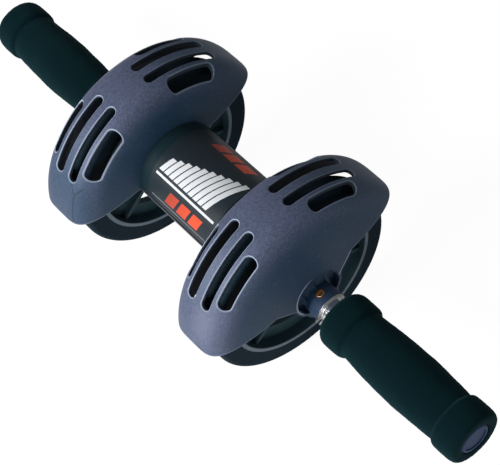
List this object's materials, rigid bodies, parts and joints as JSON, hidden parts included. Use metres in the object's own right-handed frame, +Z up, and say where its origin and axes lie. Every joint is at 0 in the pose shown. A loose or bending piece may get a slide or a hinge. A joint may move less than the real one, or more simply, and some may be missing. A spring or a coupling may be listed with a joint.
{
  "type": "ab wheel roller",
  "caption": "Ab exercise roller: wheels under slotted domed covers turn on a steel axle, joined by a half-round labelled bridge, with a swelled foam grip at each end.",
  "frame": {"origin": "on the floor under the middle of the axle", "axes": "+X forward, the way the roller is pushed away from the user; +Y to the left along the axle; +Z up"},
  "size_m": [0.16, 0.478, 0.1548],
  "materials": {
    "chrome": "bright plated",
    "foam": "closed-cell foam, matt",
    "cap_plastic": "satin",
    "cover_plastic": "fine-grained satin",
    "bridge_plastic": "satin",
    "printed_label": "printed film",
    "dark_plastic": "satin",
    "wheel_plastic": "satin",
    "tyre_rubber": "matt",
    "bush_plastic": "bare moulded",
    "washer_steel": "zinc plated",
    "brass": "bare"
  },
  "bodies": {
    "frame": {"axle_tube": "chrome", "bridge": "bridge_plastic", "label": "printed_label", "sleeve": "dark_plastic", "grip_left": "foam", "grip_right": "foam", "end_cap_left": "cap_plastic", "end_cap_right": "cap_plastic", "cover_left": "cover_plastic", "cover_right": "cover_plastic", "collar_screw_left": "brass", "collar_screw_right": "brass", "washer_inner_left": "washer_steel", "washer_inner_right": "washer_steel", "washer_outer_left": "washer_steel", "washer_outer_right": "washer_steel", "bridge_screw_front_left": "washer_steel", "bridge_screw_front_right": "washer_steel", "bridge_screw_rear_left": "washer_steel", "bridge_screw_rear_right": "washer_steel"},
    "left_wheel": {"wheel_left": "wheel_plastic", "tyre_left": "tyre_rubber", "bush_inner_left": "bush_plastic", "bush_outer_left": "bush_plastic"},
    "right_wheel": {"wheel_right": "wheel_plastic", "tyre_right": "tyre_rubber", "bush_inner_right": "bush_plastic", "bush_outer_right": "bush_plastic"}
  },
  "joints": [
    {"name": "left_wheel_spin", "type": "hinge", "parent": "frame", "child": "left_wheel", "pos_m": [0, 0.0707, 0.0716], "axis": [0, 1, 0], "continuous": true},
    {"name": "right_wheel_spin", "type": "hinge", "parent": "frame", "child": "right_wheel", "pos_m": [0, -0.0707, 0.0716], "axis": [0, 1, 0], "continuous": true}
  ]
}
